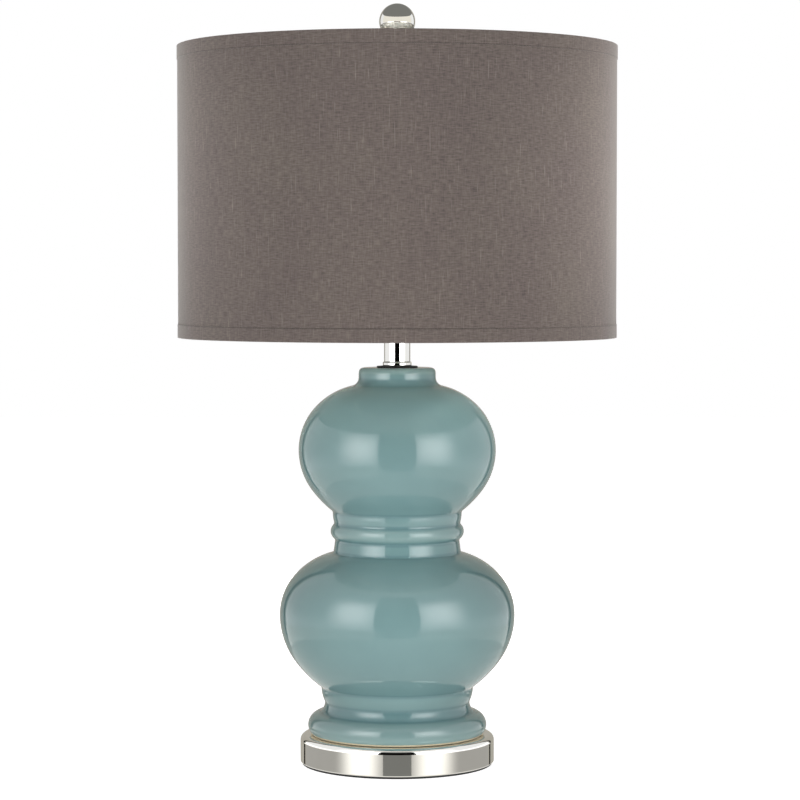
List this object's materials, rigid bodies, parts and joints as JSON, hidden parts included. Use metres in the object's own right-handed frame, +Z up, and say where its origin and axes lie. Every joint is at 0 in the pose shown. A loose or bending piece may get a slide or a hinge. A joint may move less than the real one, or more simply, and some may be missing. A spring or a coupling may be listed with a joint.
{
  "type": "table lamp",
  "caption": "Table lamp: glazed double-gourd ceramic body on a round chrome base, turn-knob socket and bulb on a harp, woven drum shade and ball finial.",
  "frame": {"origin": "centre of the pad's underside, on the surface the lamp stands on", "axes": "+Z up along the lamp's axis, -Y to the front, +X to the viewer's right; the cord inlet faces +Y"},
  "size_m": [0.4073, 0.4074, 0.707],
  "materials": {
    "chrome": "polished",
    "chromed_aluminium": "polished",
    "chromed_brass": "polished",
    "cast_iron": "rough",
    "black_nylon": "satin",
    "zinc_steel": "satin",
    "black_rubber": "matte",
    "glazed_ceramic": "glossy",
    "nickel": "polished",
    "bright_screw": "satin",
    "fibre_board": "matte",
    "black_phenolic": "gloss",
    "brass": "satin",
    "black_glass": "gloss",
    "bulb_aluminium": "satin",
    "frosted_glass": "frosted",
    "clear_glass": "clear",
    "tungsten": "satin",
    "taupe_weave": "woven",
    "white_styrene": "matte"
  },
  "bodies": {
    "lamp_body": {"base_pad": "black_rubber", "base_plate": "chrome", "base_weight": "cast_iron", "cord_bushing": "black_nylon", "lamp_pipe": "zinc_steel", "pipe_washer": "zinc_steel", "pipe_lock_washer": "zinc_steel", "pipe_nut": "zinc_steel", "foot_gasket": "black_rubber", "ceramic_body": "glazed_ceramic", "neck_washer": "black_rubber", "neck_collar": "chrome", "neck_tube": "chrome", "tube_cap": "zinc_steel", "harp_saddle": "nickel", "socket_cap": "nickel", "socket_set_screw": "bright_screw", "socket_shell": "nickel", "socket_liner": "fibre_board", "socket_core": "black_phenolic", "terminal_screws": "brass", "screw_shell": "brass", "centre_contact": "brass"},
    "switch": {"switch_shaft": "bright_screw", "switch_knob": "black_phenolic"},
    "bulb_eyelet": {"bulb_contact": "brass"},
    "bulb": {"bulb_insulator": "black_glass", "bulb_cap": "bulb_aluminium", "bulb_glass": "frosted_glass", "bulb_stem": "clear_glass", "bulb_filament": "tungsten"},
    "harp": {"harp_bow": "nickel", "harp_stud": "nickel"},
    "left_ferrule": {"ferrule_left": "nickel"},
    "right_ferrule": {"ferrule_right": "nickel"},
    "shade": {"shade_fabric": "taupe_weave", "shade_liner": "white_styrene", "trim_top": "taupe_weave", "trim_bottom": "taupe_weave", "top_ring": "nickel", "bottom_ring": "nickel", "spider_arms": "nickel", "spider_hub": "nickel"},
    "finial_insert": {"finial_base": "chromed_aluminium"},
    "finial": {"finial_ball": "chromed_brass"}
  },
  "joints": [
    {"name": "switch_turn", "type": "hinge", "parent": "lamp_body", "child": "switch", "pos_m": [0, 0, 0.4509], "axis": [0, -1, 0], "continuous": true},
    {"name": "bulb_lift", "type": "slide", "parent": "lamp_body", "child": "bulb_eyelet", "axis": [0, 0, 1], "range_m": [0, 0.01815]},
    {"name": "bulb_turn", "type": "hinge", "parent": "bulb_eyelet", "child": "bulb", "pos_m": [0, 0, 0.5027], "axis": [0, 0, 1], "range_deg": [0, 1800]},
    {"name": "harp_lift", "type": "slide", "parent": "lamp_body", "child": "harp", "axis": [0, 0, 1], "range_m": [0, 0.016]},
    {"name": "ferrule_left_slide", "type": "slide", "parent": "harp", "child": "left_ferrule", "axis": [0, 0, 1], "range_m": [0, 0.015]},
    {"name": "ferrule_right_slide", "type": "slide", "parent": "harp", "child": "right_ferrule", "axis": [0, 0, 1], "range_m": [0, 0.015]},
    {"name": "shade_turn", "type": "hinge", "parent": "harp", "child": "shade", "pos_m": [0, 0, 0.655], "axis": [0, 0, 1], "continuous": true},
    {"name": "finial_lift", "type": "slide", "parent": "harp", "child": "finial_insert", "axis": [0, 0, 1], "range_m": [0, 0.01036]},
    {"name": "finial_turn", "type": "hinge", "parent": "finial_insert", "child": "finial", "pos_m": [0, 0, 0.6827], "axis": [0, 0, 1], "range_deg": [0, 3960]}
  ],
  "couplings": [
    {"joint": "bulb_lift", "follows": "bulb_turn", "m_per_rad": 0.0005775},
    {"joint": "finial_lift", "follows": "finial_turn", "m_per_rad": 0.00014972}
  ]
}
